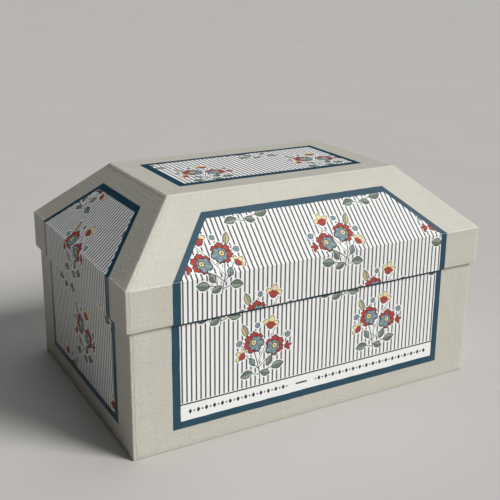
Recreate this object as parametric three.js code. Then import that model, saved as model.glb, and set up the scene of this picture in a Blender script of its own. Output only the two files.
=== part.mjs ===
// Hat box with a lift-off lid. Greyboard walls are covered in painted paper, and every outer face
// carries a printed sheet pasted over a slightly larger blue border sheet. The lid is an upright
// skirt, four sloping sides that meet at hips, and a flat top. The inside is lined with paper.
// Millimetres, +Z up. The origin is the centre of the underside.

import * as THREE from 'three';

// The box. Lengths run along X, widths along Y.
const bodyLength = 420; // of the base, over its cover paper
const bodyWidth = 286;
const topLength = 282; // of the lid's flat top
const topWidth = 160;

const skirtBottom = 136.5; // from the underside up to the lid's lower edge
const skirtHeight = 42; // of the lid's upright part
const rise = 66; // of the lid's slopes

// Stock.
const board = 2; // greyboard
const paper = 0.3; // cover paper, and the tape inside the corners
const sheet = 0.25; // border sheets, printed sheets and linings
const glue = 0.05; // between one layer and the next
const joint = 0.2; // that a board or a paper is held back from its neighbour's edge
const ease = 0.45; // that a board stops short of a square corner, so that its paper can round it

// Fits between the lid and the base.
const runningClearance = 0.85; // all round, from the base's printed sheets to the lid's lining
const seatClearance = 0.5; // from the base's rim up to the lid's slopes

// Paper sizes.
const turnIn = 15; // of cover paper folded over a rim or under the floor
const liningSetback = 4; // from a rim to where the lining starts
const bottomSetback = 3; // from the base's faces to the paper pasted under it
const tapeLeg = 12; // of corner tape on each board
const borderWidth = 8; // of blue that shows round a printed sheet
const panelMarginLong = 43; // from the base's corners to the border sheets, on the front and back
const panelMarginEnd = 38; // the same, on the two ends
const panelBottomMargin = 22; // from the underside up to the base's border sheets
const panelLap = 4; // that the base's border sheets reach up behind the skirt
const slopeMargin = 24; // from the top edge of a slope down to its border sheet
const topMargin = 26; // from the edges of the flat top to its border sheet

// Layers, as depths below the face of the cover paper: [outer face, inner face].
const below = ([, inner], thickness) => [inner + glue, inner + glue + thickness];
const above = ([outer], thickness) => [outer - glue - thickness, outer - glue];
const cover = [0, paper];
const core = below(cover, board);
const tape = below(core, paper);
const lining = below(tape, sheet);
const border = above(cover, sheet);
const print = above(border, sheet);

// The lid's skirt stands this far outside the base's walls.
const lidOverhang = lining[1] + runningClearance - print[0];

// Heights above the underside of the face of the lid's cover paper, at the fold and on the flat top.
const foldHeight = skirtBottom + skirtHeight;
const lidTop = foldHeight + rise;

const materials = {
  greyboard: new THREE.MeshStandardMaterial({ color: 0x8f8879, roughness: 0.95, metalness: 0 }),
  painted_paper: new THREE.MeshStandardMaterial({ color: 0xc9c6b8, roughness: 0.75, metalness: 0 }),
  blue_paper: new THREE.MeshStandardMaterial({ color: 0x2f566b, roughness: 0.7, metalness: 0 }),
  printed_paper: new THREE.MeshStandardMaterial({ color: 0xe8e7e3, roughness: 0.8, metalness: 0 }),
  lining_paper: new THREE.MeshStandardMaterial({ color: 0xe4ddc9, roughness: 0.85, metalness: 0 }),
  gummed_tape: new THREE.MeshStandardMaterial({ color: 0xb08a5b, roughness: 0.8, metalness: 0 }),
};

// A side of the box, seen from outside with -Y towards the viewer and then turned into place.
function makeSide(name, turn, isLong) {
  const [out, along] = isLong ? [bodyWidth / 2, bodyLength / 2] : [bodyLength / 2, bodyWidth / 2];
  const [topOut, topAlong] = isLong ? [topWidth / 2, topLength / 2] : [topLength / 2, topWidth / 2];
  const margin = isLong ? panelMarginLong : panelMarginEnd;
  return { name, turn, isLong, out, along, topOut, topAlong, panelHalf: along - margin };
}

const sides = [
  makeSide('front', 0, true),
  makeSide('right', Math.PI / 2, false),
  makeSide('back', Math.PI, true),
  makeSide('left', -Math.PI / 2, false),
];
const [frontSide, rightSide] = sides;

// Where a lid slope's face lies, at a height and a depth below its cover paper.
function slopeFace(skirtFace, topFace, up, depth) {
  const run = skirtFace - topFace;
  return skirtFace - ((up - foldHeight) * run + depth * Math.hypot(run, rise)) / rise;
}

const slopeOut = (side, up, depth) => slopeFace(side.out + lidOverhang, side.topOut, up, depth);
const slopeAlong = (side, up, depth) => slopeFace(side.along + lidOverhang, side.topAlong, up, depth);

// The height at which a layer of the lid turns from the skirt into the slope.
function foldUp(side, depth) {
  const run = side.out + lidOverhang - side.topOut;
  return foldHeight - (depth * (Math.hypot(run, rise) - rise)) / run;
}

// One corner of a section: how far out and up it is, and half the length of the piece there.
const basePoint = (side, depth, up) => ({
  out: side.out - depth,
  up,
  half: side.along - depth - joint,
});

const lidPoint = (side, depth, up) => ({
  out: up > foldUp(side, depth) ? slopeOut(side, up, depth) : side.out + lidOverhang - depth,
  up,
  half: Math.min(side.along + lidOverhang - depth, slopeAlong(side, up, depth)) - joint,
});

// A length of board or paper along one side: its section runs along X between ends cut to a mitre.
function strip(section) {
  const outline = new THREE.Shape(section.map((p) => new THREE.Vector2(p.out, p.up)));
  const geometry = new THREE.ExtrudeGeometry(outline, { depth: 2, bevelEnabled: false });
  const position = geometry.getAttribute('position');
  const isAt = (p, out, up) => Math.abs(p.out - out) < 1e-3 && Math.abs(p.up - up) < 1e-3;
  for (let i = 0; i < position.count; i++) {
    const out = position.getX(i);
    const up = position.getY(i);
    const { half } = section.find((p) => isAt(p, out, up));
    position.setXYZ(i, (1 - position.getZ(i)) * half, -out, up);
  }
  return geometry;
}

// A flat sheet or board lying level, whose edges slope from one rectangle to another.
function slab(lower, upper) {
  const geometry = new THREE.BoxGeometry(2, 2, 2);
  const position = geometry.getAttribute('position');
  for (let i = 0; i < position.count; i++) {
    const level = position.getZ(i) < 0 ? lower : upper;
    position.setXYZ(i, position.getX(i) * level.x, position.getY(i) * level.y, level.up);
  }
  return geometry;
}

// A rectangle inside the lid's slopes at a height, for a slab.
const insideSlopes = (up, depth, heldBack) => ({
  x: slopeOut(rightSide, up, depth) - heldBack,
  y: slopeOut(frontSide, up, depth) - heldBack,
  up,
});

// An angle of tape pasted inside a corner, with its fold at (x, y) and its legs running inwards.
function cornerTape(x, y, bottom, top) {
  const [dx, dy] = [-Math.sign(x), -Math.sign(y)];
  const corners = [[0, 0], [tapeLeg, 0], [tapeLeg, paper], [paper, paper], [paper, tapeLeg], [0, tapeLeg]];
  const outline = new THREE.Shape(corners.map(([a, b]) => new THREE.Vector2(x + dx * a, y + dy * b)));
  return new THREE.ExtrudeGeometry(outline, { depth: top - bottom, bevelEnabled: false }).translate(0, 0, bottom);
}

const box = new THREE.Group();

function addPiece(name, geometry, material, turn = 0) {
  const mesh = new THREE.Mesh(geometry, materials[material]);
  mesh.name = name;
  mesh.rotation.z = turn;
  box.add(mesh);
}

function addStrip(kind, side, section, material) {
  addPiece(`${kind}_${side.name}`, strip(section), material, side.turn);
}

// The base's rim stops just under the lid's lined slopes, whichever of them comes lowest.
function slopeOverRim(side) {
  const run = side.out + lidOverhang - side.topOut;
  const inward = lidOverhang - (lining[1] * Math.hypot(run, rise)) / rise;
  return foldHeight + (inward * rise) / run;
}
const rim = Math.min(...sides.map(slopeOverRim)) - seatClearance;

// Under the floor board lies the cover paper's turn-in, and under that the bottom paper.
const turnUnder = [paper + glue, paper + glue + paper];
const floorBottom = turnUnder[1] + glue;
const floorTop = floorBottom + board;
const floorLiningTop = floorTop + glue + sheet;

function addFloor() {
  const rectangle = (heldBack, up) => ({ x: bodyLength / 2 - heldBack, y: bodyWidth / 2 - heldBack, up });
  const level = (heldBack, bottom, top) => slab(rectangle(heldBack, bottom), rectangle(heldBack, top));
  const insideWalls = core[1] + joint;
  addPiece('base_bottom_paper', level(bottomSetback, 0, paper), 'painted_paper');
  addPiece('base_floor_board', level(insideWalls, floorBottom, floorTop), 'greyboard');
  addPiece('base_floor_lining', level(insideWalls, floorTop + glue, floorLiningTop), 'lining_paper');
}

// A flat layer on a base wall. The half length is mitred unless one is given.
function wallSection(side, [outer, inner], bottom, top, half) {
  const corners = [[outer, bottom], [outer, top], [inner, top], [inner, bottom]];
  return corners.map(([depth, up]) => ({ ...basePoint(side, depth, up), ...(half && { half }) }));
}

// Boards on the long sides run to the corners, and the end boards butt between them.
const boardHalf = (side, along) => along - (side.isLong ? core[0] + ease : core[1] + joint);

// The cover paper starts under the floor, runs up the wall, over the rim and down the inside.
function baseCoverSection(side) {
  const corners = [
    [cover[0], turnUnder[0]],
    [cover[0], rim],
    [tape[1], rim],
    [tape[1], rim - turnIn],
    [tape[0], rim - turnIn],
    [tape[0], rim - paper],
    [cover[1], rim - paper],
    [cover[1], turnUnder[1]],
    [turnIn, turnUnder[1]],
    [turnIn, turnUnder[0]],
  ];
  return corners.map(([depth, up]) => basePoint(side, depth, up));
}

function addBaseSide(side) {
  const panelTop = skirtBottom + panelLap;
  const wall = wallSection(side, core, floorBottom, rim - paper - ease, boardHalf(side, side.along));
  const borderSection = wallSection(side, border, panelBottomMargin, panelTop, side.panelHalf);
  const printSection = wallSection(
    side,
    print,
    panelBottomMargin + borderWidth,
    panelTop - borderWidth,
    side.panelHalf - borderWidth,
  );
  addStrip('base_wall', side, wall, 'greyboard');
  addStrip('base_cover', side, baseCoverSection(side), 'painted_paper');
  addStrip('base_border', side, borderSection, 'blue_paper');
  addStrip('base_print', side, printSection, 'printed_paper');
  addStrip(
    'base_lining',
    side,
    wallSection(side, lining, floorLiningTop + glue, rim - liningSetback),
    'lining_paper',
  );
}

// A layer of the lid's skirt that stops below the fold.
function skirtSection(side, [outer, inner], bottom, half) {
  const corners = [
    [outer, bottom],
    [outer, foldUp(side, outer) - joint],
    [inner, foldUp(side, inner) - joint],
    [inner, bottom],
  ];
  return corners.map(([depth, up]) => ({ ...lidPoint(side, depth, up), half }));
}

// A layer of one slope, from just above the fold up to a height.
function slopeSection(side, [outer, inner], top) {
  const corners = [
    [outer, foldUp(side, outer) + joint],
    [outer, top],
    [inner, top],
    [inner, foldUp(side, inner) + joint],
  ];
  return corners.map(([depth, up]) => lidPoint(side, depth, up));
}

// A paper that runs from a height on the skirt, over the fold and up the slope.
function foldedSection(side, [outer, inner], bottom, top) {
  const face = (depth) => [[depth, bottom], [depth, foldUp(side, depth)], [depth, top]];
  const corners = [...face(outer), ...face(inner).reverse()];
  return corners.map(([depth, up]) => lidPoint(side, depth, up));
}

// The lid's cover paper also turns round the skirt's lower edge and up the inside.
function lidCoverSection(side) {
  const top = lidTop - paper - glue;
  const corners = [
    [cover[0], top],
    [cover[0], foldUp(side, cover[0])],
    [cover[0], skirtBottom],
    [tape[1], skirtBottom],
    [tape[1], skirtBottom + turnIn],
    [tape[0], skirtBottom + turnIn],
    [tape[0], skirtBottom + paper],
    [cover[1], skirtBottom + paper],
    [cover[1], foldUp(side, cover[1])],
    [cover[1], top],
  ];
  return corners.map(([depth, up]) => lidPoint(side, depth, up));
}

// Border and printed sheets keep an even distance from the hips, and line up with the base's.
function panelSection(side, layer, inset) {
  const slopeLength = Math.hypot(side.out + lidOverhang - side.topOut, rise);
  const top = lidTop - ((slopeMargin + inset) * rise) / slopeLength;
  const hipLean = (side.along + lidOverhang - side.topAlong) / rise;
  const half = (up) => side.panelHalf - inset - Math.max(0, up - foldHeight) * hipLean;
  return foldedSection(side, layer, skirtBottom, top).map((p) => ({ ...p, half: half(p.up) }));
}

function addLidSide(side) {
  const skirtHalf = boardHalf(side, side.along + lidOverhang);
  const boardTop = lidTop - core[1] - glue;
  const liningTop = lidTop - lining[1] - glue;
  const liningBottom = skirtBottom + liningSetback;
  addStrip('lid_skirt', side, skirtSection(side, core, skirtBottom + paper + ease, skirtHalf), 'greyboard');
  addStrip('lid_slope', side, slopeSection(side, core, boardTop), 'greyboard');
  addStrip('lid_cover', side, lidCoverSection(side), 'painted_paper');
  addStrip('lid_border', side, panelSection(side, border, 0), 'blue_paper');
  addStrip('lid_print', side, panelSection(side, print, borderWidth), 'printed_paper');
  addStrip('lid_lining', side, foldedSection(side, lining, liningBottom, liningTop), 'lining_paper');
}

function addLidTop() {
  const levels = (depth, [outer, inner], heldBack) =>
    slab(insideSlopes(lidTop - inner, depth, heldBack), insideSlopes(lidTop - outer, depth, heldBack));
  const panel = (inset, up) => ({ x: topLength / 2 - inset, y: topWidth / 2 - inset, up });
  const flat = (inset, [outer, inner]) => slab(panel(inset, lidTop - inner), panel(inset, lidTop - outer));
  addPiece('lid_top_board', levels(core[0], core, joint), 'greyboard');
  addPiece('lid_cover_top', levels(cover[0], cover, 0), 'painted_paper');
  addPiece('lid_lining_top', levels(core[1], lining, joint), 'lining_paper');
  addPiece('lid_border_top', flat(topMargin, border), 'blue_paper');
  addPiece('lid_print_top', flat(topMargin + borderWidth, print), 'printed_paper');
}

// The corners of a rectangle, for what repeats at each corner of the base and of the lid's skirt.
function addCornerTapes(kind, grow, bottom, top) {
  const x = bodyLength / 2 + grow - tape[0];
  const y = bodyWidth / 2 + grow - tape[0];
  const corners = { front_left: [-x, -y], front_right: [x, -y], back_right: [x, y], back_left: [-x, y] };
  for (const [name, [cornerX, cornerY]] of Object.entries(corners)) {
    addPiece(`${kind}_${name}`, cornerTape(cornerX, cornerY, bottom, top), 'gummed_tape');
  }
}

addFloor();
sides.forEach(addBaseSide);
addCornerTapes('base_tape', 0, floorLiningTop + glue, rim - turnIn - joint);
addLidTop();
sides.forEach(addLidSide);
const lidTapeTop = Math.min(...sides.map((side) => foldUp(side, tape[1]))) - joint;
addCornerTapes('lid_tape', lidOverhang, skirtBottom + turnIn + joint, lidTapeTop);

export default box;
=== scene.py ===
"""A covered hat box: greyboard walls under painted paper, with printed sheets on blue borders.

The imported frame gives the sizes. Papers are cut flat, then wrapped round the walls and the folds.
Metres, +Z up, the front towards -Y.
"""

import math

import bmesh
import bpy
from mathutils import Matrix, Vector, noise


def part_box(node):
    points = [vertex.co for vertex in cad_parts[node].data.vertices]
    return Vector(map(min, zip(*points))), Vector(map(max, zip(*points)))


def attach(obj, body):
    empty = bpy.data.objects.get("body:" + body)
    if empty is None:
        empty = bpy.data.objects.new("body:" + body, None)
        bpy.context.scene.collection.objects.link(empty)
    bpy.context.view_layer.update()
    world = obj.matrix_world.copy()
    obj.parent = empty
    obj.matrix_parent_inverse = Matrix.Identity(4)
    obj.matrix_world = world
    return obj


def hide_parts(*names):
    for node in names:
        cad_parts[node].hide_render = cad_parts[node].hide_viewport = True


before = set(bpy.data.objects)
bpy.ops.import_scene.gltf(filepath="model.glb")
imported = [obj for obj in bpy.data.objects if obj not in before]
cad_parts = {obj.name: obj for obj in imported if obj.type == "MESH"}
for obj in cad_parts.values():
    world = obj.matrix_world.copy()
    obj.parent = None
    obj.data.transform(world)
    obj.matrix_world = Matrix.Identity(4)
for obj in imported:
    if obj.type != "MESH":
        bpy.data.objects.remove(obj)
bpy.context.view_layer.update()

MM = 0.001

# The box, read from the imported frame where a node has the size.
BODY_LENGTH = 2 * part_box("base_cover_right")[1].x
BODY_WIDTH = 2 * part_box("base_cover_back")[1].y
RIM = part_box("base_cover_front")[1].z
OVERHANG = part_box("lid_cover_right")[1].x - BODY_LENGTH / 2
SKIRT_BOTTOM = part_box("lid_cover_front")[0].z
SKIRT_HEIGHT = 42 * MM
FOLD = SKIRT_BOTTOM + SKIRT_HEIGHT
LID_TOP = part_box("lid_cover_top")[1].z
TOP_LENGTH, TOP_WIDTH = 282 * MM, 160 * MM
RISE = LID_TOP - FOLD
LONG_MARGIN, END_MARGIN = 43 * MM, 38 * MM  # from the box's corner to the blue border
BORDER_BELOW_TOP = 24 * MM  # down the slope, from the flat top to the blue border

# Papers.
COVER = 0.3 * MM
SHEET = 0.25 * MM
TURN_IN = 15 * MM
LAYERS_UNDER_FACE = 2.7 * MM  # from the face of the cover paper to the face of its turn-in
LINING_FACE = 3.0 * MM
LINING_GAP = 0.2 * MM
LID_LINING_STARTS, LID_LINING_STOPS = 4 * MM, 0.5 * MM  # above the skirt's edge, short of the top
BORDER_LIFT = 0.05 * MM
PRINT_LIFT = 0.35 * MM
BORDER_SHOWS = 8 * MM
EDGE_ROUND = 1.0 * MM
FOLD_ROUND = 1.3 * MM
UNDERSIDE = 0.35 * MM  # the height of the base's cover papers where they run under the floor
BEAD_HEIGHT, BEAD_WIDTH = 0.38 * MM, 0.85 * MM
KNIFE_WANDERS = 0.25 * MM
PRINT_KNIFE_WANDERS = 0.4 * MM
LINING_KNIFE_WANDERS = 0.1 * MM

# End papers wrap the corners, and the front and back papers stop short of them.
LAP_SHOWS = 3.5 * MM
LAP_UNDER = 6 * MM
LAP_HIDDEN = 15 * MM
LAP_RAISES = 0.24 * MM
LAP_EASE = 4 * MM  # either side of the hidden edge, where a raised lap sinks back
TOP_LAP = 2.6 * MM
TOP_LAP_RAISES = 0.18 * MM
TOP_LAP_FULL, TOP_LAP_GONE = 0.5 * MM, 6 * MM  # in from the flat top's edge
SLOPES_STOP = 0.6 * MM  # below the flat top, where its own paper laps over the slopes' papers

# Where meshes are cut finer, so that they can bend and swell.
SHEET_CELL = 5 * MM
COVER_CELL = 6 * MM
SHEET_BEND_CUTS = (-3.0, -1.4, -0.9, -0.45, 0.0, 0.45, 0.9, 1.4, 3.0)
COVER_FOLD_CUTS = (-3.0, -1.5, -0.8, -0.4, 0.0, 0.35, 0.7, 1.1, 2.2)
LAP_CUTS = (6, 9, 12, 13.5, 15, 16.5, 18)


# --- Shaders ---------------------------------------------------------------------------------


class Wire:
    """A shader socket that takes part in sums."""

    def __init__(self, shader, socket):
        self.shader, self.socket = shader, socket

    def math(self, operation, *others, clamp=False):
        settings = {"operation": operation, "use_clamp": clamp}
        return self.shader.node("Math", settings, dict(enumerate((self, *others)))).out(0)

    def __add__(self, other):
        return self.math("ADD", other)

    def __sub__(self, other):
        return self.math("SUBTRACT", other)

    def __rsub__(self, other):
        return self.math("MULTIPLY_ADD", -1, other)

    def __mul__(self, other):
        return self.math("MULTIPLY", other)

    def times_plus(self, factor, term):
        return self.math("MULTIPLY_ADD", factor, term)

    def size(self):
        """The value without its sign."""
        return self.math("ABSOLUTE")

    def below(self, edge, soft):
        """1 where the value is less than an edge, 0 where it is more, over a soft width."""
        return self.math("MULTIPLY_ADD", -1 / soft, edge / soft + 0.5, clamp=True)

    def above(self, edge, soft):
        """The opposite of below."""
        return self.math("MULTIPLY_ADD", 1 / soft, 0.5 - edge / soft, clamp=True)


class Made:
    """A node in a shader, for its outputs."""

    def __init__(self, shader, node):
        self.shader, self.node = shader, node

    def out(self, name):
        return Wire(self.shader, self.node.outputs[name])


class Shader:
    """One material and its nodes, or the world's."""

    def __init__(self, name, library=bpy.data.materials):
        self.owner = library.new(name)
        self.owner.use_nodes = True
        self.tree = self.owner.node_tree
        self.tree.nodes.clear()

    def node(self, kind, settings=None, inputs=None):
        made = self.tree.nodes.new("ShaderNode" + kind)
        for name, value in (settings or {}).items():
            setattr(made, name, value)
        for name, value in (inputs or {}).items():
            if isinstance(value, Wire):
                self.tree.links.new(value.socket, made.inputs[name])
            else:
                made.inputs[name].default_value = value
        return Made(self, made)

    def blend(self, factor, first, second):
        """A mix of two colours, by a factor."""
        settings = {"data_type": "RGBA", "clamp_factor": True}
        return self.node("Mix", settings, {0: factor, 6: first, 7: second}).out(2)

    def noise(self, place, scale, detail=3.0, roughness=0.5):
        inputs = {"Vector": place, "Scale": scale, "Detail": detail, "Roughness": roughness}
        return self.node("TexNoise", {}, inputs).out("Fac")

    def stretched(self, place, across, up, through=1.0, turn=0.0):
        """Coordinates scaled by a different amount each way, for strokes and fibres."""
        inputs = {"Vector": place, "Scale": (across, up, through), "Rotation": (0, 0, turn)}
        return self.node("Mapping", {}, inputs).out(0)

    def finish(self, colour, roughness, height, bump_distance, specular):
        """A Principled surface with a bump from a height, in the units of the bump distance."""
        bump = self.node("Bump", {}, {"Height": height, "Distance": bump_distance, "Strength": 1.0})
        inputs = {
            "Base Color": colour,
            "Roughness": roughness,
            "Normal": bump.out(0),
            "Specular IOR Level": specular,
        }
        surface = self.node("BsdfPrincipled", {}, inputs).out(0)
        self.node("OutputMaterial", {}, {"Surface": surface})
        return self.owner


def colour(red, green, blue):
    """A colour given as it looks on a screen, 0 to 255, for a socket."""

    def linear(c):
        c /= 255
        return c / 12.92 if c <= 0.04045 else ((c + 0.055) / 1.055) ** 2.4

    return (linear(red), linear(green), linear(blue), 1)


def painted_paper():
    """Warm grey paint brushed over paper, mostly along the box. Its edges are rubbed, and it is
    creased a little where it was wrapped."""
    s = Shader("brushed grey paint on paper")
    flat = s.node("UVMap", {"uv_map": "flat"}).out(0)
    edge = s.node("Attribute", {"attribute_name": "from_edge"}).out("Fac") * 1000
    strokes = s.noise(s.stretched(flat, 22, 620), 1, 5, 0.62)
    crossing = s.noise(s.stretched(flat, 55, 900, turn=0.09), 1, 3, 0.6)
    clouds = s.noise(flat, 16, 3, 0.55)
    fibres = s.noise(flat, 1500, 2, 0.6)
    weave = s.noise(s.stretched(flat, 2600, 160), 1, 2, 0.5)
    mottle = s.noise(flat, 330, 3, 0.6)
    pimples = s.node("TexVoronoi", {"feature": "F1"}, {"Vector": flat, "Scale": 70.0})
    pimple = pimples.out("Distance").below(0.10, 0.10)
    near_edge = edge.below(7.0, 10.0)
    creases = s.noise(flat, 60, 2, 0.5).times_plus(22.0, edge * 1.5).math("SINE")
    creases = creases * s.noise(flat, 38, 2, 0.5).above(0.50, 0.12)
    rubbed = edge.below(0.9, 1.2)
    wrinkled = s.node(
        "TexVoronoi",
        {"feature": "DISTANCE_TO_EDGE"},
        {"Vector": s.stretched(flat, 17, 34, turn=0.5), "Scale": 1.0},
    ).out("Distance")
    wrinkle = wrinkled.below(0.012, 0.03) * s.noise(flat, 34, 2, 0.5).above(0.54, 0.10)
    upright = s.noise(s.stretched(flat, 560, 30), 1, 3, 0.6)
    body = s.blend(clouds, colour(198, 196, 185), colour(210, 209, 200))
    body = s.blend(strokes.above(0.55, 0.5) * 0.42, body, colour(181, 178, 163))
    body = s.blend(crossing.above(0.66, 0.3) * 0.30, body, colour(226, 224, 212))
    body = s.blend(fibres.above(0.62, 0.3) * 0.22, body, colour(170, 166, 150))
    body = s.blend(rubbed * strokes.above(0.42, 0.2) * 0.55, body, colour(232, 230, 220))
    body = s.blend(upright.above(0.60, 0.3) * 0.22, body, colour(184, 180, 166))
    height = strokes.times_plus(0.9, crossing * 0.45)
    height = fibres.times_plus(0.16, height)
    height = weave.times_plus(0.22, height)
    height = pimple.times_plus(0.9, height)
    height = mottle.times_plus(1.8, height)
    height = upright.times_plus(0.35, height)
    height = wrinkle.times_plus(0.8, height)
    height = (creases * near_edge).times_plus(0.30, height)
    return s.finish(body, strokes.times_plus(0.22, 0.50), height, 0.00025, 0.4)


def blue_paper():
    """Plain blue paper, faintly mottled and scuffed."""
    s = Shader("petrol blue paper")
    flat = s.node("UVMap", {"uv_map": "flat"}).out(0)
    fibres = s.noise(flat, 1700, 3, 0.6)
    laid = s.noise(s.stretched(flat, 30, 1300), 1, 2, 0.6)
    clouds = s.noise(flat, 55, 4, 0.6)
    scuffs = s.noise(s.stretched(flat, 260, 700), 1, 4, 0.7)
    body = s.blend(clouds, colour(16, 61, 82), colour(30, 77, 98))
    body = s.blend(fibres.above(0.60, 0.2) * 0.25, body, colour(58, 102, 122))
    body = s.blend(scuffs.above(0.70, 0.12) * 0.30, body, colour(92, 134, 150))
    height = fibres.times_plus(0.5, laid * 0.5)
    return s.finish(body, clouds.times_plus(0.14, 0.30), height, 0.00010, 0.42)


def lining_paper():
    """Cream wove paper with flecks, slightly foxed."""
    s = Shader("cream lining paper")
    flat = s.node("UVMap", {"uv_map": "flat"}).out(0)
    fibres = s.noise(flat, 1400, 3, 0.6)
    clouds = s.noise(flat, 14, 4, 0.6)
    foxing = s.noise(flat, 90, 3, 0.6)
    ripple = s.noise(s.stretched(flat, 9, 26), 1, 2, 0.5)
    body = s.blend(clouds, colour(226, 217, 196), colour(236, 229, 211))
    body = s.blend(fibres.above(0.62, 0.2) * 0.25, body, colour(205, 194, 168))
    body = s.blend(foxing.above(0.74, 0.06) * 0.30, body, colour(190, 160, 118))
    height = fibres.times_plus(0.3, ripple * 3.0)
    return s.finish(body, 0.82, height, 0.00018, 0.25)


def greyboard():
    """Grey pulp board, with darker and lighter specks."""
    s = Shader("pulp greyboard")
    place = s.node("TexCoord").out("Object")
    specks = s.noise(place, 900, 3, 0.6)
    pulp = s.noise(place, 160, 4, 0.6)
    body = s.blend(pulp, colour(132, 124, 108), colour(152, 144, 128))
    body = s.blend(specks.above(0.66, 0.1) * 0.5, body, colour(96, 90, 80))
    body = s.blend(specks.below(0.34, 0.1) * 0.4, body, colour(182, 176, 160))
    return s.finish(body, 0.92, specks.times_plus(0.5, pulp), 0.00025, 0.2)


def gummed_tape():
    """Brown kraft tape, with fibres along its length."""
    s = Shader("gummed kraft tape")
    place = s.node("TexCoord").out("Object")
    fibres = s.noise(s.stretched(place, 900, 900, 90), 1, 4, 0.6)
    clouds = s.noise(place, 60, 3, 0.5)
    body = s.blend(clouds, colour(168, 128, 82), colour(186, 146, 98))
    body = s.blend(fibres.above(0.6, 0.2) * 0.4, body, colour(140, 102, 62))
    return s.finish(body, 0.55, fibres, 0.00015, 0.4)


# --- The printed sheets: pin stripes and sprigs of flowers, worked out in millimetres ------------

INK = colour(31, 31, 37)
BRICK = colour(172, 70, 62)
BRICK_DARK = colour(142, 42, 38)
SLATE = colour(138, 165, 173)
STRAW = colour(236, 221, 164)
LEAF = colour(166, 180, 162)
LEAF_DARK = colour(104, 126, 114)
SHEET_WHITE = colour(248, 249, 249)

METRE = 1000  # in the millimetres of the drawing
STRIPE_PITCH = 5.15
STRIPE_WIDTH = 1.6
ROW_PITCH = 68.0
COLUMN_PITCH = 144.0
FOOT_ACROSS, FOOT_UP = 74.0, 61.0  # the foot of one sprig on the front of the base
OTHER_ROW_ACROSS = -44.0  # every second row is mirrored and moved this far
ROW_BELOW_FOOT = 5.0
CRISP = 0.30  # the width over which an edge of ink fades
LINE = 0.43  # half the width of an outline
CLEAR_OF_SPRIG = 1.7  # how near a stripe comes to a sprig
FAR = 50  # farther than any stripe has to keep clear
WANDERS = 1.1  # how far the lines of the flowers stray
STRIPES_STRAY = 0.22  # the share of that by which stripes and the strip stray

# The strip below the front sheet's print.
RULE_HALF = 0.72
STRIPES_ABOVE_RULE = 1.4
ROW_BELOW_RULE = 9.0
LOZENGE_PITCH = 9.0
LOZENGE_HALF, LOZENGE_SQUAT = 2.0, 0.70
DOT_HALF = 1.2
DASH_AT, DASH_HALF_LENGTH, DASH_HALF_WIDTH = -18.0, 7.0, 0.9
DASH_CLEAR = 16.0
LOZENGES_REACH = 151.0


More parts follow.
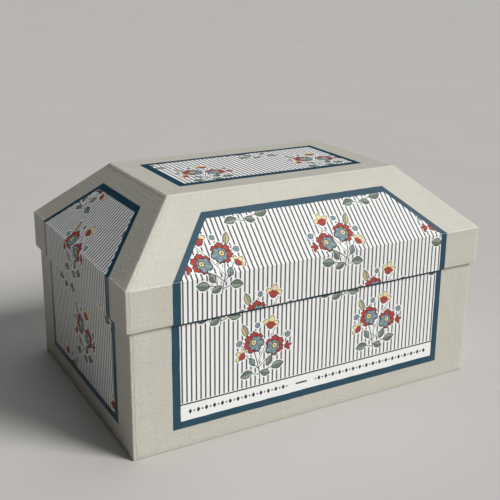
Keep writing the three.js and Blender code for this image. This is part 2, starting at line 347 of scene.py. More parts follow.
class Sprig:
    """Draws one spray of flowers, element by element, in blocks of colour and lines of ink."""

    def __init__(self, shader, x, y, paper):
        self.s, self.x, self.y = shader, x, y
        self.paint = paper
        self.ink = None
        self.near = None

    def wash(self, mask, tint):
        self.paint = self.s.blend(mask, self.paint, tint)

    def line(self, mask):
        self.ink = mask if self.ink is None else self.ink.math("MAXIMUM", mask)

    def fresh(self, mask):
        """Clears the ink of whatever lies behind a flower or a leaf."""
        self.ink = self.ink * (1 - mask)

    def keep_clear(self, distance):
        self.near = distance if self.near is None else self.near.math("MINIMUM", distance)

    def along(self, across, up, bearing):
        """Distances along and across a line through a point, at a bearing in degrees."""
        c, n = math.cos(math.radians(bearing)), math.sin(math.radians(bearing))
        ahead = self.x.times_plus(c, self.y.times_plus(n, -across * c - up * n))
        aside = self.x.times_plus(-n, self.y.times_plus(c, across * n - up * c))
        return ahead, aside

    def polar(self, across, up, bearing=0.0):
        """Distance and angle from a point, and distance along a bearing through it."""
        ahead, aside = self.along(across, up, bearing)
        radius = ahead.times_plus(ahead, aside * aside).math("SQRT")
        return radius, aside.math("ARCTAN2", ahead), ahead

    def stem(self, across, up, bearing, length, bend, width):
        """A thin stem that leaves a point at a bearing and bends off to one side."""
        ahead, aside = self.along(across, up, bearing)
        off = ahead.times_plus(ahead * -bend, aside).size()
        past = (ahead - length / 2).size() - length / 2
        self.line(off.below(width / 2, CRISP) * past.below(0, CRISP))
        self.keep_clear(off.math("MAXIMUM", past))

    def leaf(self, across, up, bearing, length, width, tint=LEAF, shade=LEAF_DARK):
        """A leaf round a midrib, darker on one half, with hatched veins."""
        ahead, aside = self.along(across, up, bearing)
        half = length / 2
        off = aside.size()
        shape = (ahead * ahead).times_plus(width / 2 / half**2, off - width / 2)
        inside = shape.below(0, CRISP)
        self.wash(inside, tint)
        self.wash(inside * aside.below(-0.2, 0.5) * 0.8, shade)
        self.fresh(inside)
        veins = ahead.times_plus(2.6, off * -2.4).math("SINE").above(0.45, 0.7) * inside
        self.line(shape.size().below(LINE, CRISP))
        self.line(veins * 0.75)
        self.line(off.below(0.24, CRISP) * inside)
        self.keep_clear(shape)

    def rosette(self, across, up, size, petals, turn):
        """An open flower: brick petals, an off-centre slate ring and a straw eye."""
        radius, angle, ahead = self.polar(across, up, turn)
        lobe = angle.times_plus(petals / 2, 0.4).math("COSINE").size()
        frill = angle.times_plus(petals * 2.5, 1.0).math("SINE")
        rim = lobe.times_plus(-0.20 * size, frill.times_plus(-0.05 * size, radius))
        shape = rim - 0.80 * size
        inside = shape.below(0, CRISP)
        self.wash(inside, BRICK)
        self.fresh(inside)
        gap = lobe.below(0.20, 0.16) * radius.above(0.42 * size, 0.6) * inside
        self.wash(gap * 0.8, BRICK_DARK)
        self.line(gap * 0.6)
        self.line(shape.size().below(LINE, CRISP))
        ring = ahead.times_plus(0.36, lobe.times_plus(-0.14 * size, radius)) - 0.52 * size
        self.wash(ring.below(0, CRISP), SLATE)
        self.line(ring.size().below(LINE * 0.8, CRISP))
        spokes = angle.times_plus(petals * 2, 0).math("SINE").above(0.55, 0.6)
        self.line(spokes * ring.below(0, CRISP) * 0.5)
        eye = radius - 0.27 * size
        self.fresh(eye.below(0, CRISP))
        self.wash(eye.below(0, CRISP), STRAW)
        self.line(eye.size().below(LINE, CRISP))
        self.line(radius.below(0.10 * size, CRISP) * 0.8)
        self.keep_clear(shape)

    def tulip(self, across, up, bearing, size, cup, petals):
        """A flower seen from the side: a round cup with pointed petals standing in it."""
        radius, angle, ahead = self.polar(across, up, bearing)
        fan = angle.times_plus(2.6, 0).math("COSINE").size()
        front = ahead.above(-0.1 * size, 0.25 * size)
        shape = (fan * front).times_plus(-0.55 * size, radius) - 0.48 * size
        inside = shape.below(0, CRISP)
        self.wash(inside, petals)
        self.fresh(inside)
        base = ahead.times_plus(0.9, radius) - 0.68 * size
        self.wash(base.below(0, CRISP) * inside, cup)
        self.line(shape.size().below(LINE, CRISP))
        self.line(base.size().below(LINE * 0.7, CRISP) * inside)
        self.line(fan.below(0.22, 0.16) * inside * ahead.above(0, 0.3))
        self.keep_clear(shape)

    def berry(self, across, up, size):
        radius = self.polar(across, up)[0]
        inside = radius.below(size, CRISP)
        self.wash(inside, SLATE)
        self.fresh(inside)
        self.line((radius - size).size().below(LINE * 0.9, CRISP))
        self.line(radius.below(0.25 * size, CRISP))
        self.keep_clear(radius - size)


def draw_sprig(shader, x, y, paper):
    """The whole spray, its foot at (0, 0)."""
    spray = Sprig(shader, x, y, paper)
    spray.stem(1.0, -5.0, 96, 38, 0.0040, 1.0)
    spray.stem(0.5, 0.0, 172, 17, -0.012, 0.8)
    spray.stem(0.5, 2.5, 10, 14, 0.0, 0.8)
    spray.stem(-0.3, 8.0, 44, 24, -0.0080, 0.8)
    spray.stem(-1.5, 14.0, 66, 40, -0.0030, 0.7)
    spray.stem(0.0, 6.0, 138, 24, -0.0060, 0.8)
    spray.stem(16.0, 24.0, 40, 22, 0.0080, 0.6)
    spray.stem(-8.0, 32.0, 160, 16, -0.0140, 0.6)
    spray.stem(-3.0, 26.0, 104, 28, 0.0060, 0.6)
    spray.leaf(-15.0, 2.5, 192, 14.5, 8.4)
    spray.leaf(6.8, 0.4, -20, 12.0, 7.2)
    spray.leaf(21.5, 6.0, 10, 15.0, 8.6)
    spray.leaf(11.5, 12.5, 60, 11.5, 7.0)
    spray.leaf(-17.0, 51.5, 112, 15.0, 6.6, STRAW, LEAF)
    spray.leaf(-8.5, 15.5, 118, 11.0, 6.0, SLATE, LEAF)
    spray.berry(-23.5, 38.5, 3.0)
    spray.berry(33.5, 38.0, 3.0)
    spray.berry(-2.5, 54.5, 2.6)
    spray.tulip(-20.5, 24.0, 142, 7.6, BRICK, STRAW)
    spray.tulip(13.0, 52.5, 76, 9.4, BRICK, STRAW)
    spray.tulip(32.5, 25.0, 12, 5.6, BRICK, BRICK)
    spray.rosette(-6.5, 36.5, 11.8, 7, 150)
    spray.rosette(18.0, 28.5, 11.2, 6, 35)
    return spray


def draw_lozenge_row(across, up):
    """A row of small lozenges with dots between them, broken near its middle by one dash."""
    link_turn = (across * (1 / LOZENGE_PITCH)).math("FRACT")
    link = link_turn.times_plus(LOZENGE_PITCH, -LOZENGE_PITCH / 2).size()
    level = up.size()
    lozenge = level.times_plus(LOZENGE_SQUAT, link).below(LOZENGE_HALF, CRISP)
    dot = ((link - LOZENGE_PITCH / 2).size() + level).below(DOT_HALF, CRISP)
    from_dash = (across - DASH_AT).size()
    reach = from_dash.above(DASH_CLEAR, 0.5) * across.size().below(LOZENGES_REACH, 0.5)
    dash = level.below(DASH_HALF_WIDTH, CRISP) * from_dash.below(DASH_HALF_LENGTH, CRISP)
    return (lozenge.math("MAXIMUM", dot) * reach).math("MAXIMUM", dash)


def printed_paper(name, strip_top=None):
    """White laid paper printed with pin stripes and sprigs. A strip below strip_top, in
    millimetres, has a rule and a row of small lozenges instead."""
    s = Shader(name)
    flat = s.node("UVMap", {"uv_map": "flat"}).out(0)
    wander = s.node("TexNoise", {}, {"Vector": flat, "Scale": 150.0, "Detail": 2.0}).out("Color")
    stray = {0: wander, "Scale": WANDERS / METRE}
    offset = s.node("VectorMath", {"operation": "SCALE"}, stray).out(0)
    moved = s.node("VectorMath", {"operation": "ADD"}, {0: flat, 1: offset}).out(0)
    place = s.node("SeparateXYZ", {}, {0: moved})
    across, up = place.out(0) * METRE - WANDERS / 2, place.out(1) * METRE - WANDERS / 2
    still = s.node("SeparateXYZ", {}, {0: flat})
    steady = METRE * (1 - STRIPES_STRAY)
    plain_across = across.times_plus(STRIPES_STRAY, still.out(0) * steady)
    plain_up = up.times_plus(STRIPES_STRAY, still.out(1) * steady)

    row_up = up - (FOOT_UP - ROW_BELOW_FOOT)
    row = (row_up * (1 / ROW_PITCH)).math("FLOOR")
    y = row.times_plus(-ROW_PITCH, row_up) - ROW_BELOW_FOOT
    other = row.math("FLOORED_MODULO", 2)
    side = other * -2 + 1
    x = (across - FOOT_ACROSS - other * OTHER_ROW_ACROSS) * side
    x = x.math("WRAP", COLUMN_PITCH / 2, -COLUMN_PITCH / 2)

    fibres = s.noise(flat, 1300, 3, 0.6)
    clouds = s.noise(flat, 25, 3, 0.5)
    paper = s.blend(clouds, SHEET_WHITE, colour(240, 242, 242))
    spray = draw_sprig(s, x, y, paper)

    near = spray.near
    if strip_top is not None:
        row_below = row.below(-0.5, 0.1)
        near = near.math("MAXIMUM", row_below * FAR)
    worn = s.noise(s.stretched(flat, 900, 260), 1, 4, 0.7).above(0.30, 0.25)
    stripe_turn = (plain_across * (1 / STRIPE_PITCH)).math("FRACT")
    from_line = stripe_turn.times_plus(STRIPE_PITCH, -STRIPE_PITCH / 2)
    stripe = from_line.size().below(STRIPE_WIDTH / 2, 0.35) * near.above(CLEAR_OF_SPRIG, 0.6)
    bare_middle = from_line.size().below(0.16, 0.25)
    stripe = stripe * bare_middle.times_plus(-0.14, 1.0)
    ink = spray.ink
    if strip_top is not None:
        over = plain_up.above(strip_top + STRIPES_ABOVE_RULE, 0.5)
        rule = (plain_up - strip_top).size().below(RULE_HALF, CRISP)
        stripe = stripe * over
        ink = ink * over * (1 - row_below)
        row_ink = draw_lozenge_row(plain_across, plain_up - (strip_top - ROW_BELOW_RULE))
        ink = ink.math("MAXIMUM", rule).math("MAXIMUM", row_ink)
    washed = s.blend(worn.times_plus(-0.30, 0.30), spray.paint, paper)
    if strip_top is not None:
        washed = s.blend(row_below, washed, paper)
    lines = ink.math("MAXIMUM", stripe) * worn.times_plus(0.12, 0.87)
    body = s.blend(lines, washed, INK)
    laid = s.noise(s.stretched(flat, 40, 1500), 1, 2, 0.6)
    height = laid.times_plus(0.35, fibres * 0.45)
    height = lines.times_plus(-0.25, height)
    return s.finish(body, 0.72, height, 0.00012, 0.3)


MATERIALS = {
    "painted_paper": painted_paper(),
    "blue_paper": blue_paper(),
    "lining_paper": lining_paper(),
    "greyboard": greyboard(),
    "gummed_tape": gummed_tape(),
    "printed_paper": printed_paper("block-printed paper"),
    "titled_paper": printed_paper("block-printed paper with its border strip", 48.0),
}


# --- Places on the box -----------------------------------------------------------------------


class Side:
    """One side of the box, seen with -Y towards the viewer and then turned into place."""

    def __init__(self, name, turn, length, width, top_length, top_width, margin):
        self.name, self.turn = name, math.radians(turn)
        self.along, self.out = length / 2, width / 2
        self.top_along, self.top_out = top_length / 2, top_width / 2
        self.panel = self.along - margin
        self.run = self.out + OVERHANG - self.top_out
        self.slope = math.hypot(self.run, RISE)

    def wall(self, depth=0.0):
        """The base's wall, as a path of (out, up), at a depth below its cover."""
        return [(self.out - depth, 0.0), (self.out - depth, RIM)]

    def lid(self, depth=0.0):
        """The skirt and the slope, from the skirt's lower edge to the top."""
        out = self.out + OVERHANG - depth
        fold = FOLD - depth * (self.slope - RISE) / self.run
        top_out = self.top_out - depth * (self.slope - RISE) / self.run
        return [(out, SKIRT_BOTTOM), (out, fold), (top_out, LID_TOP - depth)]

    def put(self, u, out, up):
        """A point of this side, turned into place on the box."""
        spot = Vector((u, -out, up))
        spot.rotate(Matrix.Rotation(self.turn, 3, "Z"))
        return spot


FRONT = Side("front", 0, BODY_LENGTH, BODY_WIDTH, TOP_LENGTH, TOP_WIDTH, LONG_MARGIN)
RIGHT = Side("right", 90, BODY_WIDTH, BODY_LENGTH, TOP_WIDTH, TOP_LENGTH, END_MARGIN)
BACK = Side("back", 180, BODY_LENGTH, BODY_WIDTH, TOP_LENGTH, TOP_WIDTH, LONG_MARGIN)
LEFT = Side("left", -90, BODY_WIDTH, BODY_LENGTH, TOP_WIDTH, TOP_LENGTH, END_MARGIN)
SIDES = (FRONT, RIGHT, BACK, LEFT)


def follow(path, v, proud):
    """Where a point v along a path of (out, up) lies, standing proud of it, and its outward
    normal. The path's bend is eased round."""
    points = [Vector(p) for p in path]
    first = (points[1] - points[0]).normalized()
    normal = Vector((first.y, -first.x))
    if len(points) == 2:
        return points[0] + first * v + normal * proud, normal
    bend_at = (points[1] - points[0]).length
    second = (points[2] - points[1]).normalized()
    angle = first.angle(second)
    reach = FOLD_ROUND * math.tan(angle / 2)
    if v > bend_at + reach:
        normal = Vector((second.y, -second.x))
        return points[1] + second * (v - bend_at) + normal * proud, normal
    if v > bend_at - reach:
        part = (v - bend_at + reach) / (2 * reach) * angle
        centre = points[1] - first * reach - normal * FOLD_ROUND
        normal = Vector((math.cos(part), math.sin(part)))
        return centre + normal * (FOLD_ROUND + proud), normal
    return points[0] + first * v + normal * proud, normal


def swell(spot):
    """How far paper stands off the board, from uneven paste: 0 to about 0.2 mm."""
    broad = 0.5 + 0.5 * noise.noise(spot * 16)
    fine = 0.5 + 0.5 * noise.noise(spot * 62 + Vector((7, 3, 1)))
    return (0.13 * broad + 0.06 * fine) * MM


def bead(spot):
    """The ridge that the scored board raises along the lid's fold."""
    away = (spot.z - FOLD) / BEAD_WIDTH
    return BEAD_HEIGHT * math.exp(-away * away)


def smooth(value, low, high):
    """0 below the low end and 1 above the high end, with an eased rise between."""
    t = min(1.0, max(0.0, (value - low) / (high - low)))
    return t * t * (3 - 2 * t)


# --- Making pieces ----------------------------------------------------------------------------


def add_piece(name, bm, material, body, *replaced):
    """Makes an object of a mesh, with its finish, its body and the nodes that it stands for."""
    slot = "printed_paper" if material == "titled_paper" else material
    bmesh.ops.recalc_face_normals(bm, faces=bm.faces[:])
    if bm.calc_volume(signed=True) < 0:  # a thin sheet can come out with its faces inwards
        bmesh.ops.reverse_faces(bm, faces=bm.faces[:])
    mesh = bpy.data.meshes.new(name)
    bm.to_mesh(mesh)
    bm.free()
    mesh.materials.append(MATERIALS[material])
    piece = bpy.data.objects.new(name, mesh)
    bpy.context.scene.collection.objects.link(piece)
    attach(piece, body)
    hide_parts(*replaced)


def score(bm, spot, normal, faces=None, clear=False):
    """Cuts a mesh by a plane, and if asked clears what lies on the normal's side."""
    faces = bm.faces[:] if faces is None else faces
    edges = {e for f in faces for e in f.edges}
    verts = {v for f in faces for v in f.verts}
    bmesh.ops.bisect_plane(
        bm,
        geom=[*verts, *edges, *faces],
        dist=1e-7,
        plane_co=spot,
        plane_no=normal,
        clear_outer=clear,
    )


def flat_sheet(half, low, high, bends=(), edge=KNIFE_WANDERS, seed=0.0):
    """A flat sheet of paper: across -1 to 1 at first, cut to a half width at each height, with
    edges that wander as a knife does. Returns a mesh in (across, up, 0)."""
    bm = bmesh.new()
    widest = max(half(low), half(high))
    columns, rows = round(2 * widest / SHEET_CELL), round((high - low) / SHEET_CELL)
    bmesh.ops.create_grid(bm, x_segments=columns, y_segments=rows, size=1)
    bmesh.ops.scale(bm, vec=(1, (high - low) / 2, 1), verts=bm.verts[:])
    bmesh.ops.translate(bm, vec=(0, (high + low) / 2, 0), verts=bm.verts[:])
    for bend in bends:
        for step in SHEET_BEND_CUTS:
            score(bm, (0, bend + step * MM, 0), (0, 1, 0))
    for v in bm.verts:
        share = v.co.x
        end = (2 * v.co.y - low - high) / (high - low)
        knife = noise.noise(Vector((v.co.y * 90, seed, math.copysign(3, share))))
        blade = noise.noise(Vector((share * widest * 90, seed + 5, math.copysign(3, end))))
        v.co.x = share * half(v.co.y) + knife * edge * share**5
        v.co.y += blade * edge * end**9
    return bm


def finish_sheet(bm, thickness, place, phase):
    """Gives a flat sheet its thickness and its own flat map, then puts it in place."""
    bmesh.ops.recalc_face_normals(bm, faces=bm.faces[:])
    if bm.faces[0].normal.z < 0:
        bmesh.ops.reverse_faces(bm, faces=bm.faces[:])
    outline = bmesh.ops.extrude_face_region(bm, geom=bm.faces[:])
    lifted = [g for g in outline["geom"] if isinstance(g, bmesh.types.BMVert)]
    bmesh.ops.translate(bm, vec=(0, 0, thickness), verts=lifted)
    layer = bm.loops.layers.uv.new("flat")
    for face in bm.faces:
        for loop in face.loops:
            loop[layer].uv = (loop.vert.co.x + phase[0], loop.vert.co.y + phase[1])
    for v in bm.verts:
        v.co = place(v.co.x, v.co.y, v.co.z)
    return bm


def paste(name, side, path, half, low, high, lift, material, body, phase, **cut):
    """A sheet pasted on one side, from low to high up a path."""
    bends = [path[1][1] - path[0][1]] if len(path) > 2 else []

    def place(u, v, proud):
        (out, up), normal = follow(path, v, 0)
        nominal = side.put(u, out, up)
        raised = lift + proud + swell(nominal) + (bead(nominal) if body == "lid" else 0)
        spot = Vector((out, up)) + normal * raised
        return side.put(u, spot.x, spot.y)

    bm = flat_sheet(half, low, high, bends, seed=side.turn + lift * 9e4, **cut)
    add_piece(name, finish_sheet(bm, SHEET, place, phase), material, body, name_of(name))


def name_of(name):
    """The CAD node that a piece stands for."""
    return name.replace("_sheet", "")


# Where each side's printed sheet was cut from the printed roll, in millimetres.
ROLL_BASE = {"front": (0, 0), "right": (40, 3), "back": (20, 30), "left": (67, 7)}
ROLL_LID = {"front": (0, 101), "right": (30, 60), "back": (58, 20), "left": (81, 50)}


def add_base_panels(side):
    """The blue border sheet on a wall of the base, and the printed sheet over it."""
    bottom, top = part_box("base_border_front")[0].z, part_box("base_border_front")[1].z
    phase = [p * MM for p in ROLL_BASE[side.name]]
    wall = side.wall()
    paste(f"base_border_{side.name}_sheet", side, wall, lambda v: side.panel, bottom, top,
          BORDER_LIFT, "blue_paper", "base", phase)
    inner = side.panel - BORDER_SHOWS
    printed = "titled_paper" if side is FRONT else "printed_paper"
    paste(f"base_print_{side.name}_sheet", side, wall, lambda v: inner, bottom + BORDER_SHOWS,
          top - BORDER_SHOWS, PRINT_LIFT, printed, "base", phase, edge=PRINT_KNIFE_WANDERS)


def add_lid_panels(side):
    """The blue border sheet and the printed sheet that run over the lid's fold."""
    lean = (side.along + OVERHANG - side.top_along) / side.slope
    phase = [p * MM for p in ROLL_LID[side.name]]

    def half(inset):
        return lambda v: side.panel - inset - max(0.0, v - SKIRT_HEIGHT) * lean

    top = SKIRT_HEIGHT + side.slope - BORDER_BELOW_TOP
    paste(f"lid_border_{side.name}_sheet", side, side.lid(), half(0), 0, top,
          BORDER_LIFT, "blue_paper", "lid", phase)
    paste(f"lid_print_{side.name}_sheet", side, side.lid(), half(BORDER_SHOWS), 0,
          top - BORDER_SHOWS, PRINT_LIFT, "printed_paper", "lid", phase, edge=PRINT_KNIFE_WANDERS)


def lay(name, low, high, material, body, phase, **cut):
    """A sheet that lies level, between two corners."""
    half, middle = (high.x - low.x) / 2, (high + low) / 2

    def place(u, v, proud):
        spot = Vector((u + middle.x, v, low.z))
        return spot + Vector((0, 0, proud + (swell(spot) if body == "lid" else 0)))

    bm = flat_sheet(lambda v: half, low.y, high.y, **cut)
    bm = finish_sheet(bm, high.z - low.z, place, phase)
    from_edge = bm.verts.layers.float.new("from_edge")
    for v in bm.verts:
        x, y, _ = v.co - middle
        v[from_edge] = max(0.0, min(half - abs(x), (high.y - low.y) / 2 - abs(y)))
    add_piece(name, bm, material, body, name_of(name))


def add_level_sheets():
    """The papers under and inside the floor, and the pair on the lid's flat top."""
    roll = (2 * MM, 105 * MM)
    for node, material, body in (
        ("base_bottom_paper", "painted_paper", "base"),
        ("base_floor_lining", "lining_paper", "base"),
        ("lid_border_top", "blue_paper", "lid"),
        ("lid_print_top", "printed_paper", "lid"),
    ):
        low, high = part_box(node)
        lay(f"{node}_sheet", low, high, material, body, roll)


def add_linings(side):
    """Lining papers on the inside of the walls, the skirt and the slopes."""
    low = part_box("base_lining_front")[0].z
    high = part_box("base_lining_front")[1].z

    def hang(path, bottom, top, name, body, half):
        bends = [path[1][1] - path[0][1]] if len(path) > 2 else []

        def place(u, v, proud):
            spot, _ = follow(path, v, proud)
            return side.put(u, spot.x, spot.y)

        bm = flat_sheet(half, bottom, top, bends, edge=LINING_KNIFE_WANDERS, seed=side.turn)
        bm = finish_sheet(bm, SHEET, place, (side.turn, 0))
        add_piece(name, bm, "lining_paper", body, name_of(name))

    inside = side.along - LINING_FACE - LINING_GAP
    wall = side.wall(LINING_FACE)
    hang(wall, low, high, f"base_lining_{side.name}_sheet", "base", lambda v: inside)
    path = side.lid(LINING_FACE)
    skirt = path[1][1] - path[0][1]
    slope = math.hypot(path[2][0] - path[1][0], path[2][1] - path[1][1])
    other = FRONT if side in (LEFT, RIGHT) else RIGHT
    across = other.lid(LINING_FACE)

    def half(v):
        if v <= skirt:
            return across[1][0] - LINING_GAP
        return across[1][0] + (across[2][0] - across[1][0]) * (v - skirt) / slope - LINING_GAP

    top = skirt + slope - LID_LINING_STOPS
    hang(path, LID_LINING_STARTS, top, f"lid_lining_{side.name}_sheet", "lid", half)


# --- Cover papers ------------------------------------------------------------------------------


def box_shell(length, width, low, high):
    """A closed box, centred on the upright axis."""
    bm = bmesh.new()
    bmesh.ops.create_cube(bm, size=1)
    bmesh.ops.scale(bm, vec=(length, width, high - low), verts=bm.verts[:])
    bmesh.ops.translate(bm, vec=(0, 0, (high + low) / 2), verts=bm.verts[:])
    return bm


def facing(bm, direction):
    return [f for f in bm.faces if f.normal.dot(Vector(direction)) > 0.999]


def turn_over(bm, faces, inset, depth):
    """Turns the shell in over an end face, and down or up the inside, leaving the end open."""
    bmesh.ops.inset_individual(bm, faces=faces, thickness=inset, use_even_offset=True)
    made = bmesh.ops.extrude_discrete_faces(bm, faces=faces)["faces"]
    bmesh.ops.translate(bm, vec=(0, 0, depth), verts=made[0].verts[:])
    bmesh.ops.delete(bm, geom=made, context="FACES")


def round_edges(bm, radius):
    """Rounds every edge that two faces share at an angle."""
    sharp = [e for e in bm.edges if len(e.link_faces) == 2 and e.calc_face_angle() > 0.3]
    bmesh.ops.bevel(
        bm, geom=sharp, offset=radius, segments=3, profile=0.5, affect="EDGES", material=-1
    )


def grid_cuts(bm, length, width, low, high):
    """Scores a shell into small cells, so that it can swell."""
    for span, axis in ((length, 0), (width, 1)):
        count = round(span / COVER_CELL)
        for i in range(1, count):
            spot, normal = Vector((0, 0, 0)), Vector((0, 0, 0))
            spot[axis], normal[axis] = -span / 2 + span * i / count, 1
            score(bm, spot, normal)
    count = round((high - low) / COVER_CELL)
    for i in range(1, count):
        score(bm, (0, 0, low + (high - low) * i / count), (0, 0, 1))


def edge_distance(spot, creases):
    """How far a point lies from the nearest of some segments."""
    nearest = math.inf
    for start, end in creases:
        run = end - start
        t = min(1.0, max(0.0, (spot - start).dot(run) / run.length_squared))
        nearest = min(nearest, (spot - start - run * t).length)
    return nearest


def corners(half_x, half_y, z):
    """The four corners of a level rectangle, in order round it."""
    quarters = ((-1, -1), (1, -1), (1, 1), (-1, 1))
    return [Vector((sx * half_x, sy * half_y, z)) for sx, sy in quarters]


def ring(points):
    """The segments that join points in a closed loop."""
    return list(zip(points, points[1:] + points[:1]))


def add_cover(name, bm, body, creases, raise_by, *replaced):
    """Finishes a cover paper: swells it, raises its laps, maps it flat and gives it thickness."""
    bmesh.ops.remove_doubles(bm, verts=bm.verts[:], dist=2e-6)
    bm.normal_update()
    layer = bm.loops.layers.uv.new("flat")
    from_edge = bm.verts.layers.float.new("from_edge")
    for face in bm.faces:
        n = face.normal
        for loop in face.loops:
            x, y, z = loop.vert.co
            if abs(n.z) > 0.9:
                loop[layer].uv = (x, y)
            elif abs(n.y) >= abs(n.x):
                loop[layer].uv = (x * math.copysign(1, -n.y), z * 1.2 + 0.3)
            else:
                loop[layer].uv = (y * math.copysign(1, n.x), z * 1.2 + 0.7)
    moves = []
    for v in bm.verts:
        v[from_edge] = edge_distance(v.co, creases)
        # Under the base the paper is pressed flat, and a lap stands off by just enough to show.
        loose = smooth(v.co.z, 0.4 * MM, 1.6 * MM)
        lift = swell(v.co) * loose + raise_by(v.co) * (0.2 + 0.8 * loose)
        lift += bead(v.co) if body == "lid" else 0
        moves.append((v, v.normal.copy() * lift))
    for v, move in moves:
        v.co += move
    bmesh.ops.solidify(bm, geom=bm.faces[:], thickness=COVER)
    for face in bm.faces:
        face.smooth = True
    for e in bm.edges:
        e.smooth = len(e.link_faces) == 2 and e.calc_face_angle() < 0.7
    add_piece(name, bm, "painted_paper", body, *replaced)


def base_shell():
    """All the base's cover papers in one: walls, turned in at the rim and under the floor."""
    bm = box_shell(BODY_LENGTH, BODY_WIDTH, UNDERSIDE, RIM)
    turn_over(bm, facing(bm, (0, 0, 1)), LAYERS_UNDER_FACE, -TURN_IN)
    under = facing(bm, (0, 0, -1))
    bmesh.ops.inset_individual(bm, faces=under, thickness=TURN_IN, use_even_offset=True)
    bmesh.ops.delete(bm, geom=under, context="FACES")
    round_edges(bm, EDGE_ROUND)
    grid_cuts(bm, BODY_LENGTH, BODY_WIDTH, UNDERSIDE, RIM)
    return bm


def add_base_covers():
    shell = base_shell()
    half = BODY_LENGTH / 2
    low, top = corners(half, BODY_WIDTH / 2, UNDERSIDE), corners(half, BODY_WIDTH / 2, RIM)
    creases = ring(low) + ring(top) + list(zip(low, top))

    def long_raise(spot):
        edge = half - LAP_HIDDEN
        return LAP_RAISES * smooth(abs(spot.x), edge - LAP_EASE, edge + LAP_EASE)

    for side, sign in ((FRONT, -1), (BACK, 1)):
        bm = shell.copy()
        score(bm, (0, 0, 0), (0, -sign, 0), clear=True)
        for x in (-1, 1):
            for gap in LAP_CUTS:
                score(bm, (x * (half - gap * MM), 0, 0), (x, 0, 0))
            score(bm, (x * (half - LAP_SHOWS), 0, 0), (x, 0, 0), clear=True)
        add_cover(f"base_cover_{side.name}_paper", bm, "base", creases, long_raise,
                  f"base_cover_{side.name}")
    for side, sign in ((RIGHT, 1), (LEFT, -1)):
        bm = shell.copy()
        score(bm, (sign * (half - LAP_UNDER), 0, 0), (-sign, 0, 0), clear=True)
        score(bm, (sign * (half - LAP_SHOWS), 0, 0), (sign, 0, 0))
        add_cover(f"base_cover_{side.name}_paper", bm, "base", creases, lambda spot: 0.0,
                  f"base_cover_{side.name}")
    shell.free()


def lid_shell():
    """All the lid's cover papers in one: flat top, slopes and skirts, turned in below."""
    length, width = BODY_LENGTH + 2 * OVERHANG, BODY_WIDTH + 2 * OVERHANG
    bm = box_shell(length, width, SKIRT_BOTTOM, FOLD)
    top = facing(bm, (0, 0, 1))
    made = bmesh.ops.extrude_discrete_faces(bm, faces=top)["faces"]
    bmesh.ops.translate(bm, vec=(0, 0, RISE), verts=made[0].verts[:])
    bmesh.ops.scale(bm, vec=(TOP_LENGTH / length, TOP_WIDTH / width, 1), verts=made[0].verts[:])
    bm.normal_update()
    turn_over(bm, facing(bm, (0, 0, -1)), LAYERS_UNDER_FACE, TURN_IN)
    bm.normal_update()
    round_edges(bm, EDGE_ROUND)
    for up in COVER_FOLD_CUTS:
        score(bm, (0, 0, FOLD + up * MM), (0, 0, 1))
    grid_cuts(bm, length, width, SKIRT_BOTTOM, LID_TOP)
    return bm


def hip_plane(sx, sy, inset):
    """A plane square to a long side's slope, along a line beside its hip: (spot, normal). The
    normal points out over the end. The line meets the fold at an inset from the corner."""
    fold = Vector((sx * (BODY_LENGTH / 2 + OVERHANG), sy * (BODY_WIDTH / 2 + OVERHANG), FOLD))
    top = Vector((sx * TOP_LENGTH / 2, sy * TOP_WIDTH / 2, LID_TOP))
    hip = (top - fold).normalized()
    slope = Vector((0, sy * RISE, FRONT.run)).normalized()
    normal = slope.cross(hip)
    if normal.x * sx < 0:
        normal.negate()
    return fold - Vector((sx * inset, 0, 0)), normal


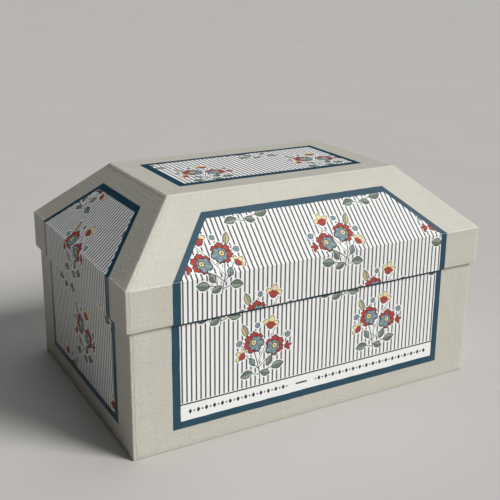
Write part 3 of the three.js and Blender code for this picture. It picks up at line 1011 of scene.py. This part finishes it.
def add_lid_covers():
    shell = lid_shell()
    half_x, half_y = BODY_LENGTH / 2 + OVERHANG, BODY_WIDTH / 2 + OVERHANG
    low = corners(half_x, half_y, SKIRT_BOTTOM)
    fold = corners(half_x, half_y, FOLD)
    top = corners(TOP_LENGTH / 2, TOP_WIDTH / 2, LID_TOP)
    creases = ring(low) + ring(fold) + ring(top) + list(zip(low, fold)) + list(zip(fold, top))
    planes = {(sx, sy): hip_plane(sx, sy, 0) for sx in (-1, 1) for sy in (-1, 1)}

    def from_end(spot):
        """How far a point on a long side is from the corner or hip, measured along the fold."""
        if spot.z <= FOLD:
            return half_x - abs(spot.x)
        sx, sy = (1 if spot.x > 0 else -1), (1 if spot.y > 0 else -1)
        at, normal = planes[sx, sy]
        return -(spot - at).dot(normal) / abs(normal.x)

    def long_raise(spot):
        gone = smooth(from_end(spot), LAP_HIDDEN - LAP_EASE, LAP_HIDDEN + LAP_EASE)
        return LAP_RAISES * (1 - gone)

    def above_fold(bm):
        return [f for f in bm.faces if f.calc_center_median().z > FOLD]

    def long_slope(bm, sy):
        return [f for f in above_fold(bm) if f.normal.y * sy > 0.02]

    def skirts_of(bm):
        return [f for f in bm.faces if f.calc_center_median().z < FOLD]

    under_top = LID_TOP - SLOPES_STOP
    for side, sy in ((FRONT, -1), (BACK, 1)):
        bm = shell.copy()
        score(bm, (0, 0, 0), (0, -sy, 0), clear=True)
        score(bm, (0, 0, under_top), (0, 0, 1), clear=True)
        for sx in (-1, 1):
            for gap in LAP_CUTS:
                score(bm, (sx * (half_x - gap * MM), 0, 0), (sx, 0, 0), skirts_of(bm))
                score(bm, *hip_plane(sx, sy, gap * MM), long_slope(bm, sy))
            score(bm, *hip_plane(sx, sy, LAP_SHOWS), above_fold(bm), clear=True)
            score(bm, (sx * (half_x - LAP_SHOWS), 0, 0), (sx, 0, 0), skirts_of(bm), clear=True)
        add_cover(f"lid_cover_{side.name}_paper", bm, "lid", creases, long_raise,
                  f"lid_cover_{side.name}")
    for side, sx in ((RIGHT, 1), (LEFT, -1)):
        bm = shell.copy()
        score(bm, (0, 0, 0), (-sx, 0, 0), clear=True)
        score(bm, (0, 0, under_top), (0, 0, 1), clear=True)
        score(bm, (sx * (half_x - LAP_UNDER), 0, 0), (-sx, 0, 0), skirts_of(bm), clear=True)
        for sy in (-1, 1):
            spot, normal = hip_plane(sx, sy, LAP_UNDER)
            over_long_side = [f for f in long_slope(bm, sy) if abs(f.normal.x) < 0.5]
            score(bm, spot, -normal, over_long_side, clear=True)
        add_cover(f"lid_cover_{side.name}_paper", bm, "lid", creases, lambda spot: 0.0,
                  f"lid_cover_{side.name}")
    bm = shell.copy()
    score(bm, (0, 0, LID_TOP - TOP_LAP), (0, 0, -1), clear=True)

    def top_raise(spot):
        inside = min(TOP_LENGTH / 2 - abs(spot.x), TOP_WIDTH / 2 - abs(spot.y))
        return TOP_LAP_RAISES * (1 - smooth(inside, TOP_LAP_FULL, TOP_LAP_GONE))

    add_cover("lid_cover_top_paper", bm, "lid", creases, top_raise, "lid_cover_top")
    shell.free()


def add_lid_lining_top():
    low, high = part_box("lid_lining_top")
    lay("lid_lining_top_sheet", low, high, "lining_paper", "lid", (0, 0), edge=0.0)


# --- Stage -------------------------------------------------------------------------------------


def add_stage():
    """A plain pale floor."""
    bm = bmesh.new()
    bmesh.ops.create_grid(bm, x_segments=1, y_segments=1, size=30)
    mesh = bpy.data.meshes.new("floor")
    bm.to_mesh(mesh)
    bm.free()
    s = Shader("pale studio floor")
    place = s.node("TexCoord").out("Object")
    body = s.blend(s.noise(place, 3, 2), colour(200, 198, 195), colour(206, 204, 201))
    mesh.materials.append(s.finish(body, 0.8, s.noise(place, 300, 2), 0.0001, 0.2))
    floor = bpy.data.objects.new("floor", mesh)
    bpy.context.scene.collection.objects.link(floor)


def add_light(name, direction, width, strength, tint):
    """A broad soft source, far away, that lights the whole floor evenly."""
    data = bpy.data.lights.new(name, "SUN")
    data.angle, data.energy, data.color = math.radians(width), strength, tint
    light = bpy.data.objects.new(name, data)
    light.rotation_euler = Vector(direction).to_track_quat("Z", "Y").to_euler()
    bpy.context.scene.collection.objects.link(light)


def add_lights():
    add_light("window", (0.50, -0.62, 0.60), 24, 3.15, (1.0, 0.985, 0.965))
    add_light("ceiling", (0.20, 0.16, 1.0), 50, 0.66, (0.97, 0.985, 1.0))


def add_room():
    """Pale grey walls to look at, which give little light of their own."""
    s = Shader("room", bpy.data.worlds)
    seen = s.node("LightPath").out("Is Camera Ray")
    strength = s.node("MapRange", {}, {"Value": seen, "To Min": 0.035, "To Max": 0.60}).out(0)
    walls = s.node("Background", {}, {"Color": (0.80, 0.80, 0.78, 1), "Strength": strength})
    s.node("OutputWorld", {}, {"Surface": walls.out(0)})
    bpy.context.scene.world = s.owner


def add_camera():
    data = bpy.data.cameras.new("camera")
    data.sensor_width = 36
    data.lens = 62.4
    data.shift_x, data.shift_y = 0.024, -0.07
    camera = bpy.data.objects.new("camera", data)
    camera.location = (-0.4778, -0.8401, 0.4719)
    ahead = Vector((0.4609, 0.8402, -0.2858)).normalized()
    right = ahead.cross(Vector((0, 0, 1))).normalized()
    above = right.cross(ahead)
    roll = Matrix.Rotation(math.radians(-0.32), 3, ahead)
    right, above = roll @ right, roll @ above
    camera.rotation_euler = Matrix((right, above, -ahead)).transposed().to_euler()
    bpy.context.scene.collection.objects.link(camera)
    bpy.context.scene.camera = camera


def dress_packed_nodes():
    """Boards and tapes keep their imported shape, and get their own finish. The papers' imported
    nodes are replaced, so it doesn't matter that they get greyboard's."""
    for name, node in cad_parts.items():
        kind = "gummed_tape" if "_tape_" in name else "greyboard"
        for slot in node.material_slots:
            slot.material = MATERIALS[kind]


bpy.context.scene.view_settings.view_transform = "Standard"
add_camera()
dress_packed_nodes()
add_base_covers()
add_lid_covers()
add_level_sheets()
add_lid_lining_top()
for each_side in SIDES:
    add_base_panels(each_side)
    add_lid_panels(each_side)
    add_linings(each_side)
add_stage()
add_lights()
add_room()
